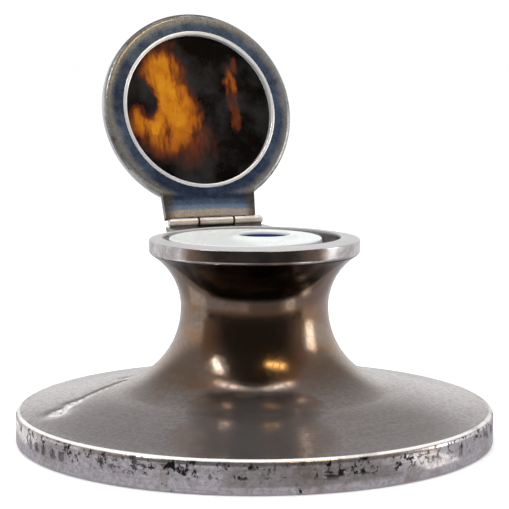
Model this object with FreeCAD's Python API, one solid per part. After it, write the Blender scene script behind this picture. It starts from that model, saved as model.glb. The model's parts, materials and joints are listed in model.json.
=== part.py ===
import FreeCAD, Part
import math
import os

# Capstan inkwell: a weighted sheet-metal base with a flared neck, a ceramic ink pot
# that drops into the collar, and a hinged lid with a tortoiseshell panel.
# Millimetres and degrees. +Z is up, the base stands on z = 0 with its axis on Z,
# and the lid's hinge is behind the collar, along X. The lid is modelled closed and
# then swung open against its stop.

# Base shell
base_radius = 63.5
foot_height = 8.6
foot_clearance = 0.3
foot_edge_radius = 0.3
rim_radius = 1.6
dome_inner_height = 13.7
dome_inner_slope = 8.0
dome_outer_slope = 8.0
waist_radius = 19.67
waist_height = 35.2
wall = 0.8

# Inside the base
solder_gap = 0.03
foot_wire_width = 1.5
foot_wire_height = 2.0
foot_wire_edge = 0.3
board_clearance = 0.2
board_thickness = 2.4
board_edge = 0.4
pad_margin = 0.5
pad_thickness = 1.0
loading_clearance = 0.1
loading_floor = 5.6
loading_rise = 10.0

# Well sleeve and ink liner
sleeve_clearance = 1.4
sleeve_wall = 0.5
recess_shift = 0.75
liner_shift = 2.4
shift_bearing = 157.7
liner_side_clearance = 0.35
liner_floor_clearance = 0.5
liner_wall = 2.4
liner_taper = 0.8
liner_foot_edge = 2.4
well_floor_edge = 2.4
well_shoulder_edge = 1.2
ledge_width = 2.83
flange_thickness = 2.6
flange_sink = 0.2
flange_edge = 0.5
flange_under_edge = 0.27
mouth_radius = 6.8
mouth_inner_edge = 0.6
mouth_lip_width = 2.2
mouth_lip_height = 0.9
mouth_lip_slope = 0.66
mouth_lip_edge = 0.45
mouth_root_rise = 0.18
mouth_root_edge = 2.2
mouth_skirt_width = 3.4
mouth_shift = 4.9

# Collar
collar_top = 53.2
collar_depth = 3.9
collar_width = 4.4
collar_crown = 0.55
collar_brow_width = 0.4
collar_top_edge = 0.35
collar_under_edge = 0.95
recess_edge = 0.2
shell_lip_width = 0.45

# Lid
lid_gap = 0.25
lid_overhang = 0.1
lid_thickness = 5.6
lid_side_height = 3.2
lid_face_edge = 1.5
lid_side_edge = 0.4
lid_step_width = 0.7
lid_step_rise = 0.35
lid_step_edge = 0.3
lid_shoulder_width = 1.4
lid_shoulder_fall = 0.5
lid_shoulder_edge = 1.0
lid_brow_width = 1.2
lid_brow_fall = 0.6
lid_brow_edge = 0.8
lid_opening_edge = 0.4
lid_opening_inset = 2.3
bezel_gap = 1.42
bezel_wall = 1.05
bezel_drop = 0.35
bezel_clearance = 0.1
bezel_edge = 0.35
panel_depth = 1.4
panel_thickness = 1.6
panel_crown = 0.5
panel_crown_margin = 1.0

# Hinge
hinge_set_back = 4.3
hinge_shift = 1.4
barrel_rise = 0.25
barrel_radius = 1.15
barrel_half_length = 13.7
centre_knuckle_half = 5.25
knuckle_gap = 0.35
knuckle_foot_half = 0.5
pin_radius = 0.55
pin_head_radius = 0.85
pin_head_length = 0.37
pin_fixed_clearance = 0.02
pin_running_clearance = 0.05
tab_half_width = 14.1
tab_end_half_width = 13.4
tab_thickness = 1.9
tab_inlay = 3.4
tab_end_reach = 0.8
tab_end_clearance = 0.15
tongue_set_in = 0.4
open_angle = 106.0
stop_half_length = 11.0
stop_rise = 2.2
stop_wall = 0.9
stop_clearance = 0.04
plate_thickness = 1.6
plate_root_depth = 3.2
plate_root_reach = 1.6
plate_side_margin = 0.6
plate_edge = 0.8
plate_corner = 1.5
stop_edge = 0.45

# Cutting tools run this far past what they cut
overrun = 1.0

# Radii that follow from what fits in what, from the neck outwards
sleeve_radius = waist_radius - wall - sleeve_clearance
flange_radius = sleeve_radius + ledge_width
bezel_inner_radius = flange_radius + bezel_gap
bezel_outer_radius = bezel_inner_radius + bezel_wall
recess_radius = bezel_outer_radius + recess_shift + bezel_clearance
collar_radius = recess_radius + collar_width
lid_radius = collar_radius + lid_overhang
hinge_y = collar_radius + hinge_set_back

# Heights that follow
collar_under = collar_top - collar_depth
collar_brow = collar_top + collar_crown
liner_top = collar_brow - flange_sink
ledge_height = liner_top - flange_thickness
board_top = pad_thickness + board_thickness
sleeve_floor = board_top + loading_floor
hinge_z = collar_top + barrel_radius + barrel_rise
lid_face = collar_brow + lid_gap

# Where the strap ends, and how high its top stands over the hinge's axis
tab_end_y = hinge_y - tab_end_reach
tab_top = lid_face + tab_thickness - hinge_z

z_axis = FreeCAD.Vector(0, 0, 1)
x_axis = FreeCAD.Vector(1, 0, 0)
origin = FreeCAD.Vector(0, 0, 0)


def at(r, z):
    return FreeCAD.Vector(r, 0, z)


def line(a, b):
    return Part.LineSegment(a, b).toShape()


def arc_about(centre, radius, start, end):
    """Arc in the XZ plane; angles in degrees from +X towards +Z."""
    points = []
    for angle in (start, (start + end) / 2, end):
        turn = math.radians(angle)
        points.append(at(centre.x + radius * math.cos(turn), centre.z + radius * math.sin(turn)))
    return Part.Arc(*points).toShape()


def end_point(edge):
    return edge.valueAt(edge.LastParameter)


def start_point(edge):
    return edge.valueAt(edge.FirstParameter)


def rounded_outline(corners, place=at):
    """Closed wire through (a, b, radius) corners, each rounded by a tangent arc."""
    count = len(corners)
    joins = []
    arcs = []
    for index, (a, b, radius) in enumerate(corners):
        corner = place(a, b)
        before = place(*corners[index - 1][:2]) - corner
        after = place(*corners[(index + 1) % count][:2]) - corner
        before.normalize()
        after.normalize()
        if radius == 0:
            joins.append((corner, corner))
            arcs.append(None)
            continue
        half = before.getAngle(after) / 2
        reach = radius / math.tan(half)
        inward = before + after
        inward.normalize()
        middle = corner + inward * (radius / math.sin(half) - radius)
        joins.append((corner + before * reach, corner + after * reach))
        arcs.append(Part.Arc(joins[-1][0], middle, joins[-1][1]).toShape())
    edges = []
    for index in range(count):
        if arcs[index]:
            edges.append(arcs[index])
        edges.append(line(joins[index][1], joins[(index + 1) % count][0]))
    return Part.Wire(edges)


def spun(wire):
    return Part.Face(wire).revolve(origin, z_axis, 360)


def ring(corners):
    return spun(rounded_outline(corners))


def cylinder_x(radius, x_from, x_to):
    """Cylinder along the hinge's axis, its ends measured from the hinge's middle."""
    start = FreeCAD.Vector(hinge_shift + x_from, hinge_y, hinge_z)
    return Part.makeCylinder(radius, x_to - x_from, start, x_axis)


def shifted(shape, distance):
    """The shape moved sideways, the way that the recess and the ink pot lie off the neck's axis."""
    turn = math.radians(shift_bearing)
    shape.translate(FreeCAD.Vector(math.cos(turn), math.sin(turn), 0) * distance)
    return shape


def block(x_from, x_to, y_from, y_to, z_from, z_to):
    corner = FreeCAD.Vector(x_from, y_from, z_from)
    return Part.makeBox(x_to - x_from, y_to - y_from, z_to - z_from, corner)


def skin(depth, top_height):
    """Edges of the base's curve, a depth inside its outer face, from the foot upwards."""
    rim_height = foot_height - rim_radius * math.cos(math.radians(dome_outer_slope))
    rim_centre = at(base_radius - rim_radius, rim_height)
    rim = arc_about(rim_centre, rim_radius - depth, 0, 90 - dome_outer_slope)

    low_radius = (waist_height - dome_inner_height) / math.cos(math.radians(dome_inner_slope))
    low_centre = at(waist_radius + low_radius, waist_height)
    low_cove = arc_about(low_centre, low_radius + depth, 270 - dome_inner_slope, 180)

    dome_start = end_point(rim)
    dome_end = start_point(low_cove)
    pole_length = dome_start.distanceToPoint(dome_end) / 3
    outer_turn = math.radians(dome_outer_slope)
    inner_turn = math.radians(dome_inner_slope)
    outer_pole = dome_start + at(-math.cos(outer_turn), math.sin(outer_turn)) * pole_length
    inner_pole = dome_end + at(math.cos(inner_turn), -math.sin(inner_turn)) * pole_length
    curve = Part.BezierCurve()
    curve.setPoles([dome_start, outer_pole, inner_pole, dome_end])
    dome = curve.toShape()

    if top_height < waist_height:
        rise = (waist_height - top_height) / (low_radius + depth)
        low_cove = arc_about(low_centre, low_radius + depth, 270 - dome_inner_slope,
                             180 + math.degrees(math.asin(rise)))
        return [rim, dome, low_cove]

    lip_reach = collar_radius - collar_under_edge + shell_lip_width - waist_radius
    neck_height = collar_under - waist_height
    high_radius = (lip_reach ** 2 + neck_height ** 2) / (2 * lip_reach)
    high_centre = at(waist_radius + high_radius, waist_height)
    rise = (top_height - waist_height) / (high_radius + depth)
    high_cove = arc_about(high_centre, high_radius + depth, 180, 180 - math.degrees(math.asin(rise)))
    return [rim, dome, low_cove, high_cove]


def reverse_edges(edges):
    """The same path walked the other way."""
    turned = []
    for edge in reversed(edges):
        curve = edge.Curve.trim(edge.FirstParameter, edge.LastParameter)
        curve.reverse()
        turned.append(curve.toShape())
    return turned


def is_circle(edge, radius):
    return edge.Curve.TypeId == "Part::GeomCircle" and abs(edge.Curve.Radius - radius) < solder_gap


def make_body_shell():
    outer = skin(0, collar_under)
    inner = skin(wall, collar_under)
    foot_outer = at(base_radius, foot_clearance + foot_edge_radius)
    foot_edge = at(base_radius - foot_edge_radius, foot_clearance)
    foot_centre = at(base_radius - foot_edge_radius, foot_clearance + foot_edge_radius)
    foot_inner = at(base_radius - wall, foot_clearance)
    edges = [arc_about(foot_centre, foot_edge_radius, -90, 0), line(foot_outer, start_point(outer[0]))]
    edges += outer
    edges.append(line(end_point(outer[-1]), end_point(inner[-1])))
    edges += reverse_edges(inner)
    edges.append(line(start_point(inner[0]), foot_inner))
    edges.append(line(foot_inner, foot_edge))
    return spun(Part.Wire(edges))


def make_foot_wire():
    outer = base_radius - wall - solder_gap
    inner = outer - foot_wire_width
    top = foot_clearance + foot_wire_height
    corners = [(inner, foot_clearance), (outer, foot_clearance), (outer, top), (inner, top)]
    return ring([(r, z, foot_wire_edge) for r, z in corners])


def board_radius():
    return base_radius - wall - foot_wire_width - board_clearance


def make_base_board():
    radius = board_radius()
    return ring([
        (0, pad_thickness, 0),
        (radius, pad_thickness, 0),
        (radius, board_top, board_edge),
        (0, board_top, 0),
    ])


def make_base_pad():
    return Part.makeCylinder(board_radius() - pad_margin, pad_thickness)


def make_base_loading():
    """The poured weight fills the base up the neck, around the well sleeve."""
    top = dome_inner_height + loading_rise
    outer = skin(wall + loading_clearance, top)
    bore = sleeve_radius + solder_gap
    foot = at(base_radius - wall - loading_clearance, board_top)
    edges = [line(at(0, board_top), foot), line(foot, start_point(outer[0]))]
    edges += outer
    edges.append(line(end_point(outer[-1]), at(bore, top)))
    edges.append(line(at(bore, top), at(bore, sleeve_floor)))
    edges.append(line(at(bore, sleeve_floor), at(0, sleeve_floor)))
    edges.append(line(at(0, sleeve_floor), at(0, board_top)))
    return spun(Part.Wire(edges))


def make_well_sleeve():
    inner = sleeve_radius - sleeve_wall
    floor = sleeve_floor + sleeve_wall
    bend = sleeve_wall
    return ring([
        (0, sleeve_floor, 0),
        (sleeve_radius, sleeve_floor, 2 * bend),
        (sleeve_radius, ledge_height, 0),
        (inner, ledge_height, 0),
        (inner, floor, bend),
        (0, floor, 0),
    ])


def make_collar_ring():
    """Ring whose top rises from its edge to a brow around the recess, which is cut off its centre."""
    bore = sleeve_radius + solder_gap
    collar = ring([
        (bore, collar_under, 0),
        (collar_radius, collar_under, collar_under_edge),
        (collar_radius, collar_top, collar_top_edge),
        (recess_radius + recess_shift + collar_brow_width, collar_brow, 0),
        (bore, collar_brow, 0),
    ])
    recess = Part.makeCylinder(recess_radius, collar_depth, at(0, ledge_height))
    collar = collar.cut(shifted(recess, recess_shift))
    circles = [edge for edge in collar.Edges if is_circle(edge, recess_radius)]
    brow = [edge for edge in circles if edge.BoundBox.ZMin > collar_top]
    return collar.makeFillet(recess_edge, brow).Solids[0]


def make_ink_liner():
    """Glazed pot: flange on the collar's ledge, tapered well, and a raised dip mouth off its centre."""
    body_radius = sleeve_radius - sleeve_wall - liner_shift - liner_side_clearance
    floor = sleeve_floor + sleeve_wall + liner_floor_clearance
    pot = ring([
        (0, floor, 0),
        (body_radius - liner_taper, floor, liner_foot_edge),
        (body_radius, ledge_height, 0),
        (flange_radius, ledge_height, flange_under_edge),
        (flange_radius, liner_top, flange_edge),
        (0, liner_top, 0),
    ])
    well_radius = body_radius - liner_wall
    well = ring([
        (0, floor + liner_wall, 0),
        (well_radius - liner_taper, floor + liner_wall, well_floor_edge),
        (well_radius, ledge_height, well_shoulder_edge),
        (0, ledge_height, 0),
    ])
    lip_top = liner_top + mouth_lip_height
    lip_radius = mouth_radius + mouth_lip_width
    buried = liner_top - flange_thickness / 2
    mouth = ring([
        (mouth_radius, buried, 0),
        (lip_radius + mouth_skirt_width, buried, 0),
        (lip_radius + mouth_skirt_width, liner_top, 0),
        (lip_radius, liner_top + mouth_root_rise, mouth_root_edge),
        (lip_radius - mouth_lip_slope, lip_top, mouth_lip_edge),
        (mouth_radius, lip_top, mouth_inner_edge),
    ])
    bore_start = at(0, ledge_height - liner_wall)
    mouth_bore = Part.makeCylinder(mouth_radius, flange_thickness + liner_wall, bore_start)
    mouth_place = at(mouth_shift, 0)
    mouth.translate(mouth_place)
    mouth_bore.translate(mouth_place)
    pot = pot.cut(well).cut(mouth_bore).fuse(mouth).removeSplitter()
    # The mouth lies opposite to the way that the pot is shifted in its recess
    pot.rotate(origin, z_axis, shift_bearing - 180)
    return shifted(pot.Solids[0], liner_shift)


def stop_face():
    """How far behind the hinge's axis the stop lip starts, so that the open strap leans on its edge."""
    lean = math.radians(open_angle - 90)
    return (tab_top + stop_rise * math.sin(lean)) / math.cos(lean) + stop_clearance


def make_hinge_plate():
    half = barrel_half_length + plate_side_margin
    left = hinge_shift - half
    back = hinge_y + stop_face() + stop_wall
    root = collar_radius + plate_root_reach

    def side(y, z):
        return FreeCAD.Vector(left, y, z)

    outline = rounded_outline([
        (0, collar_top, 0),
        (back, collar_top, 0),
        (back, collar_top - plate_thickness, plate_edge),
        (root, collar_top - plate_root_depth, 0),
        (0, collar_top - plate_root_depth, 0),
    ], side)
    plate = Part.Face(outline).extrude(x_axis * (2 * half))
    upright = [edge for edge in plate.Edges if edge.Length < plate_thickness and edge.BoundBox.YMin > hinge_y]
    plate = plate.makeFillet(plate_corner, upright)
    lip = block(hinge_shift - stop_half_length, hinge_shift + stop_half_length, back - stop_wall, back,
                collar_top - plate_thickness / 2, hinge_z + stop_rise)
    rear = back - stop_edge
    outer_edges = [edge for edge in lip.Edges if edge.BoundBox.ZMin > hinge_z and edge.BoundBox.YMin > rear]
    lip = lip.makeFillet(stop_edge, outer_edges)
    neck = Part.makeCylinder(collar_radius, 2 * collar_top)
    return plate.fuse(lip).cut(neck).removeSplitter().Solids[0]


def make_body_knuckle(side):
    """Outer knuckle on its foot; side is -1 for left and 1 for right."""
    near = centre_knuckle_half + knuckle_gap
    x_from, x_to = sorted((side * near, side * barrel_half_length))
    barrel = cylinder_x(barrel_radius, x_from, x_to)
    foot = block(hinge_shift + x_from, hinge_shift + x_to, hinge_y - knuckle_foot_half,
                 hinge_y + knuckle_foot_half, collar_top, hinge_z)
    bore = cylinder_x(pin_radius + pin_fixed_clearance, x_from - overrun, x_to + overrun)
    return barrel.fuse(foot).cut(bore).removeSplitter().Solids[0]


def make_hinge_pin():
    half = barrel_half_length + pin_head_length
    shaft = cylinder_x(pin_radius, -half, half)
    left_head = cylinder_x(pin_head_radius, -half, -barrel_half_length)
    right_head = cylinder_x(pin_head_radius, barrel_half_length, half)
    return shaft.fuse([left_head, right_head]).removeSplitter().Solids[0]


def make_lid_knuckle():
    barrel = cylinder_x(barrel_radius, -centre_knuckle_half, centre_knuckle_half)
    return barrel.cut(cylinder_x(pin_radius + pin_running_clearance, -barrel_half_length, barrel_half_length))


def make_tab_blank(gap):
    """Strap in plan, from its arc let into the lid to the hinge; gap widens it to cut its seat."""
    inner_radius = lid_radius - tab_inlay - gap
    blank = block(-lid_radius, lid_radius, 0, tab_end_y + gap, lid_face, lid_face + tab_thickness + gap)
    inner_y = math.sqrt(inner_radius ** 2 - tab_half_width ** 2)

    def plan(x, y):
        return FreeCAD.Vector(x, y, lid_face)

    outline = rounded_outline([
        (-tab_half_width - gap, inner_y - overrun, 0),
        (tab_half_width + gap, inner_y - overrun, 0),
        (tab_end_half_width + gap, tab_end_y, 0),
        (-tab_end_half_width - gap, tab_end_y, 0),
    ], plan)
    strap = Part.Face(outline).extrude(z_axis * (tab_thickness + gap))
    return strap.common(blank).cut(Part.makeCylinder(inner_radius, 2 * hinge_z))


def make_lid_tab():
    """Strap hollowed round the body's knuckles, with a tongue to the lid's own knuckle."""
    hollow = cylinder_x(barrel_radius + tab_end_clearance, -lid_radius, lid_radius)
    strap = make_tab_blank(0).cut(hollow)
    tongue = block(hinge_shift - centre_knuckle_half, hinge_shift + centre_knuckle_half,
                   hinge_y - 2 * barrel_radius, hinge_y, lid_face + tongue_set_in, lid_face + tab_thickness)
    barrel = cylinder_x(barrel_radius, -centre_knuckle_half, centre_knuckle_half)
    return strap.fuse(tongue).cut(barrel).removeSplitter().Solids[0]


def make_lid_frame():
    """Moulded ring: face towards the collar, side, shoulder and domed top around the panel's opening."""
    bore = bezel_outer_radius + solder_gap
    opening = bezel_outer_radius - lid_opening_inset
    seat = lid_face + panel_depth + panel_thickness
    top = lid_face + lid_thickness
    shoulder = lid_face + lid_side_height
    frame = ring([
        (bore, lid_face, 0),
        (lid_radius, lid_face, lid_face_edge),
        (lid_radius, shoulder, lid_side_edge),
        (lid_radius - lid_step_width, shoulder + lid_step_rise, lid_step_edge),
        (lid_radius - lid_shoulder_width, top - lid_shoulder_fall, lid_shoulder_edge),
        (opening + lid_brow_width, top, lid_brow_edge),
        (opening, top - lid_brow_fall, lid_opening_edge),
        (opening, seat, 0),
        (bore, seat, 0),
    ])
    return frame.cut(make_tab_blank(solder_gap)).removeSplitter().Solids[0]


def make_lid_bezel():
    bottom = lid_face - bezel_drop
    top = lid_face + panel_depth
    return ring([
        (bezel_inner_radius, bottom, bezel_edge),
        (bezel_outer_radius, bottom, bezel_edge),
        (bezel_outer_radius, top, 0),
        (bezel_inner_radius, top, 0),
    ])


def make_shell_panel():
    """Thin disc with a slight crown on the side that shows when the lid is shut."""
    radius = bezel_outer_radius
    opening = bezel_outer_radius - lid_opening_inset
    under = lid_face + panel_depth
    seat = under + panel_thickness
    crown_reach = opening - panel_crown_margin
    crown_start = at(crown_reach, seat)
    crown_top = at(0, seat + panel_crown)
    crown_radius = (crown_reach ** 2 + panel_crown ** 2) / (2 * panel_crown)
    crown_turn = math.degrees(math.asin(crown_reach / crown_radius))
    crown_centre = at(0, seat + panel_crown - crown_radius)
    edges = [
        line(at(0, under), at(radius, under)),
        line(at(radius, under), at(radius, seat)),
        line(at(radius, seat), crown_start),
        arc_about(crown_centre, crown_radius, 90 - crown_turn, 90),
        line(crown_top, at(0, under)),
    ]
    return spun(Part.Wire(edges))


def swung_open(shape):
    opened = shape.copy()
    opened.rotate(FreeCAD.Vector(0, hinge_y, hinge_z), x_axis, -open_angle)
    return opened


base_parts = {
    "body_shell": make_body_shell(),
    "foot_wire": make_foot_wire(),
    "base_board": make_base_board(),
    "base_pad": make_base_pad(),
    "base_loading": make_base_loading(),
    "well_sleeve": make_well_sleeve(),
    "collar_ring": make_collar_ring(),
    "ink_liner": make_ink_liner(),
    "hinge_plate": make_hinge_plate(),
    "left_body_knuckle": make_body_knuckle(-1),
    "right_body_knuckle": make_body_knuckle(1),
    "hinge_pin": make_hinge_pin(),
}

lid_parts = {
    "lid_frame": make_lid_frame(),
    "lid_bezel": make_lid_bezel(),
    "shell_panel": make_shell_panel(),
    "lid_tab": make_lid_tab(),
    "lid_knuckle": make_lid_knuckle(),
}

os.makedirs("parts", exist_ok=True)
for name, shape in base_parts.items():
    shape.exportStep("parts/" + name + ".step")
for name, shape in lid_parts.items():
    swung_open(shape).exportStep("parts/" + name + ".step")
print("hinge axis at y", round(hinge_y, 3), "z", round(hinge_z, 3))
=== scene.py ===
import json
import math

import bmesh
import bpy
from mathutils import Matrix, Vector, noise
from mathutils.geometry import interpolate_bezier


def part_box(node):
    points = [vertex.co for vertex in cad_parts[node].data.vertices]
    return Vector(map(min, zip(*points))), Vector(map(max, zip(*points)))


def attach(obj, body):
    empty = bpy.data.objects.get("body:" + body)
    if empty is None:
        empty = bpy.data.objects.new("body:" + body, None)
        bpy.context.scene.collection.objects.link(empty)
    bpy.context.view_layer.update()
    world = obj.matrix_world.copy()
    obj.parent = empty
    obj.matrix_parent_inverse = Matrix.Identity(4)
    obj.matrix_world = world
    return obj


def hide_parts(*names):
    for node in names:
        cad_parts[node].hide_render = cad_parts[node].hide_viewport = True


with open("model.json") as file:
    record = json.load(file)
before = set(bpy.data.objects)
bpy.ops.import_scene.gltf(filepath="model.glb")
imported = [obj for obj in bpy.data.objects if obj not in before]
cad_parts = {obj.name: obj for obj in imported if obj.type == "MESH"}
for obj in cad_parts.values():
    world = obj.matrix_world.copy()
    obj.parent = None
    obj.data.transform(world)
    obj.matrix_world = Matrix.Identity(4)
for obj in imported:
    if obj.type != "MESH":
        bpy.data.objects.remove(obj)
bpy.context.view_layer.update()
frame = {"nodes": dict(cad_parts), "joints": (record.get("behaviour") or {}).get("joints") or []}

nodes = frame["nodes"]
hinge = frame["joints"][0]
mm = 0.001
print("frame loaded:", len(nodes), "nodes")


# small makers' helpers

def newPiece(bm, name, body, replacedNodes, material, smoothAngle=35):
    mesh = bpy.data.meshes.new(name)
    bm.to_mesh(mesh)
    bm.free()
    mesh.materials.append(material)
    for face in mesh.polygons:
        face.use_smooth = True
    mesh.set_sharp_from_angle(angle=math.radians(smoothAngle))
    piece = bpy.data.objects.new(name, mesh)
    bpy.context.scene.collection.objects.link(piece)
    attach(piece, body)
    if replacedNodes:
        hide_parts(*replacedNodes)
    return piece


def drawArc(bm, vert, centre, degrees, steps):
    # turns a vertex about a point in the XZ plane and leaves its edges behind
    made = bmesh.ops.spin(bm, geom=[vert], cent=centre, axis=(0, 1, 0), angle=math.radians(degrees),
                          steps=steps, use_merge=False)
    return [part for part in made["geom_last"] if isinstance(part, bmesh.types.BMVert)][0]


def drawLine(bm, vert, point):
    made = bmesh.ops.extrude_vert_indiv(bm, verts=[vert])
    made["verts"][0].co = point
    return made["verts"][0]


def closeSpin(bm, steps):
    # spins the drawn outline all the way round Z and turns its faces outwards
    bmesh.ops.remove_doubles(bm, verts=bm.verts[:], dist=1e-6)
    bmesh.ops.spin(bm, geom=bm.verts[:] + bm.edges[:], cent=(0, 0, 0), axis=(0, 0, 1),
                   angle=math.tau, steps=steps, use_merge=True)
    bmesh.ops.remove_doubles(bm, verts=bm.verts[:], dist=1e-6)
    bmesh.ops.recalc_face_normals(bm, faces=bm.faces[:])


# shader helpers

def addNode(tree, kind, inputs=None, **settings):
    node = tree.nodes.new(kind)
    for key, value in settings.items():
        setattr(node, key, value)
    for key, value in (inputs or {}).items():
        if isinstance(value, bpy.types.NodeSocket):
            tree.links.new(value, node.inputs[key])
        else:
            node.inputs[key].default_value = value
    return node


def addMath(tree, operation, first, second=0.0, clamp=False):
    return addNode(tree, "ShaderNodeMath", {0: first, 1: second}, operation=operation, use_clamp=clamp).outputs[0]


def addRange(tree, value, fromLow, fromHigh, toLow=0.0, toHigh=1.0, smooth=True):
    kind = "SMOOTHSTEP" if smooth else "LINEAR"
    found = addNode(tree, "ShaderNodeMapRange", {"Value": value, "From Min": fromLow, "From Max": fromHigh,
                    "To Min": toLow, "To Max": toHigh}, interpolation_type=kind)
    return found.outputs["Result"]


def addMix(tree, factor, first, second):
    # a Mix node's colour sockets share their names with its other sockets, so they are found by identifier
    mix = addNode(tree, "ShaderNodeMix", data_type="RGBA")
    sockets = {socket.identifier: socket for socket in mix.inputs}
    for key, value in (("Factor_Float", factor), ("A_Color", first), ("B_Color", second)):
        if isinstance(value, bpy.types.NodeSocket):
            tree.links.new(value, sockets[key])
        else:
            sockets[key].default_value = value
    return [socket for socket in mix.outputs if socket.identifier == "Result_Color"][0]


def newGroup(name, inputs, outputs):
    group = bpy.data.node_groups.new(name, "ShaderNodeTree")
    for socketName, kind, value in inputs:
        socket = group.interface.new_socket(name=socketName, in_out="INPUT", socket_type=kind)
        socket.default_value = value
    for socketName, kind in outputs:
        group.interface.new_socket(name=socketName, in_out="OUTPUT", socket_type=kind)
    return group, group.nodes.new("NodeGroupInput").outputs, group.nodes.new("NodeGroupOutput").inputs


def useGroup(tree, group, **inputs):
    node = tree.nodes.new("ShaderNodeGroup")
    node.node_tree = group
    for key, value in inputs.items():
        if isinstance(value, bpy.types.NodeSocket):
            tree.links.new(value, node.inputs[key])
        else:
            node.inputs[key].default_value = value
    return node.outputs


def newMaterial(name):
    material = bpy.data.materials.new(name)
    material.use_nodes = True
    tree = material.node_tree
    tree.nodes.clear()
    output = tree.nodes.new("ShaderNodeOutputMaterial")
    shader = tree.nodes.new("ShaderNodeBsdfPrincipled")
    tree.links.new(shader.outputs[0], output.inputs["Surface"])
    place = tree.nodes.new("ShaderNodeTexCoord").outputs["Object"]
    return material, tree, shader, place


def addBump(tree, shader, height, distance, strength=1.0):
    bump = addNode(tree, "ShaderNodeBump", {"Height": height, "Distance": distance, "Strength": strength})
    tree.links.new(bump.outputs["Normal"], shader.inputs["Normal"])


# cloudy patches of tarnish: 0 clean, 1 toned
def makeToningGroup():
    group, given, result = newGroup("toningPatches", [
        ("Place", "NodeSocketVector", (0, 0, 0)), ("Scale", "NodeSocketFloat", 60.0),
        ("Low", "NodeSocketFloat", 0.4), ("High", "NodeSocketFloat", 0.6)], [("Mask", "NodeSocketFloat")])
    cloud = addNode(group, "ShaderNodeTexNoise", {"Vector": given["Place"], "Scale": given["Scale"],
                    "Detail": 6.0, "Roughness": 0.6, "Distortion": 0.4})
    group.links.new(addRange(group, cloud.outputs["Fac"], given["Low"], given["High"]), result["Mask"])
    return group


# fine turned lines that run round Z, as a spinning lathe leaves them
def makeTurnedLinesGroup():
    group, given, result = newGroup("turnedLines", [
        ("Place", "NodeSocketVector", (0, 0, 0)), ("Density", "NodeSocketFloat", 2500.0)],
        [("Height", "NodeSocketFloat")])
    flat = addNode(group, "ShaderNodeVectorMath", {0: given["Place"], 1: (1, 1, 0)}, operation="MULTIPLY")
    radius = addNode(group, "ShaderNodeVectorMath", {0: flat.outputs[0]}, operation="LENGTH").outputs["Value"]
    parts = addNode(group, "ShaderNodeSeparateXYZ", {0: given["Place"]})
    turn = addMath(group, "ARCTAN2", parts.outputs["Y"], parts.outputs["X"])
    rings = addMath(group, "MULTIPLY", radius, given["Density"])
    levels = addMath(group, "MULTIPLY", parts.outputs["Z"], given["Density"])
    slow = addMath(group, "MULTIPLY", turn, 3.0)
    joined = addNode(group, "ShaderNodeCombineXYZ", {"X": rings, "Y": slow, "Z": levels})
    lines = addNode(group, "ShaderNodeTexNoise", {"Vector": joined.outputs[0], "Scale": 1.0, "Detail": 3.0,
                    "Roughness": 0.7})
    group.links.new(lines.outputs["Fac"], result["Height"])
    return group


# small corroded pits: 0 outside, 1 in a pit
def makePitsGroup():
    group, given, result = newGroup("corrosionPits", [
        ("Place", "NodeSocketVector", (0, 0, 0)), ("Scale", "NodeSocketFloat", 300.0),
        ("Amount", "NodeSocketFloat", 0.5)], [("Mask", "NodeSocketFloat")])
    wide = addNode(group, "ShaderNodeTexNoise", {"Vector": given["Place"], "Scale": given["Scale"],
                   "Detail": 5.0, "Roughness": 0.75})
    low = addMath(group, "SUBTRACT", 0.78, addMath(group, "MULTIPLY", given["Amount"], 0.3))
    high = addMath(group, "ADD", low, 0.06)
    group.links.new(addRange(group, wide.outputs["Fac"], low, high), result["Mask"])
    return group


# hairline scratches in two directions
def makeHairlinesGroup():
    group, given, result = newGroup("hairlines", [
        ("Place", "NodeSocketVector", (0, 0, 0)), ("Scale", "NodeSocketFloat", 400.0)],
        [("Height", "NodeSocketFloat")])
    heights = []
    for turn in ((0.3, 0.2, 0.7), (1.1, -0.4, 2.1)):
        way = addNode(group, "ShaderNodeMapping", {"Vector": given["Place"], "Rotation": turn,
                      "Scale": (1.0, 0.03, 0.5)})
        lines = addNode(group, "ShaderNodeTexNoise", {"Vector": way.outputs[0], "Scale": given["Scale"],
                        "Detail": 2.0})
        heights.append(addRange(group, lines.outputs["Fac"], 0.62, 0.7))
    group.links.new(addMath(group, "ADD", heights[0], heights[1]), result["Height"])
    return group


toningPatches = makeToningGroup()
turnedLines = makeTurnedLinesGroup()
corrosionPits = makePitsGroup()
hairlines = makeHairlinesGroup()

# the spun base

spunSilverLook = {
    "domeTone": (0.42, 0.395, 0.39, 1), "neckTone": (0.27, 0.205, 0.155, 1), "footTone": (0.64, 0.62, 0.64, 1),
    "shadeTone": (0.020, 0.012, 0.007, 1), "amberTone": (0.30, 0.15, 0.065, 1),
    "tarnishTone": (0.34, 0.27, 0.22, 1), "grainTone": (0.17, 0.14, 0.12, 1),
    # the pale tone at the end of the next line paints the highlights in the crease and along the foot's rim
    "pitTone": (0.02, 0.017, 0.02, 1), "highlightTone": (0.92, 0.92, 0.90, 1),
    "neckFrom": 0.0115, "neckFull": 0.021, "shadeFrom": 0.0385, "shadeFull": 0.0402, "shadeRise": 0.016,
    "shadeBearing": -22.3, "footTop": 0.0085, "pitBand": (0.0024, 0.0048),
    # heights where the rim's painted highlight starts, is full, fades and ends
    "rimHighlight": (0.0079, 0.0082, 0.0085, 0.0086),
    "metallic": (0.88, 0.99), "roughness": (0.16, 0.24), "bandRadius": 0.0635, "footBlend": 0.0004,
    "smearAmount": 0.8, "smudgeAmount": 0.7, "cloudAmount": 0.28, "grainAmount": 0.38, "lineAmount": 0.25,
    "markAmount": 0.55,
    "markBearings": (-85.0, -81.5, -78.0, -74.0, -70.5), "markHeight": 0.0044, "markSize": (0.0012, 0.0013),
}


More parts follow.
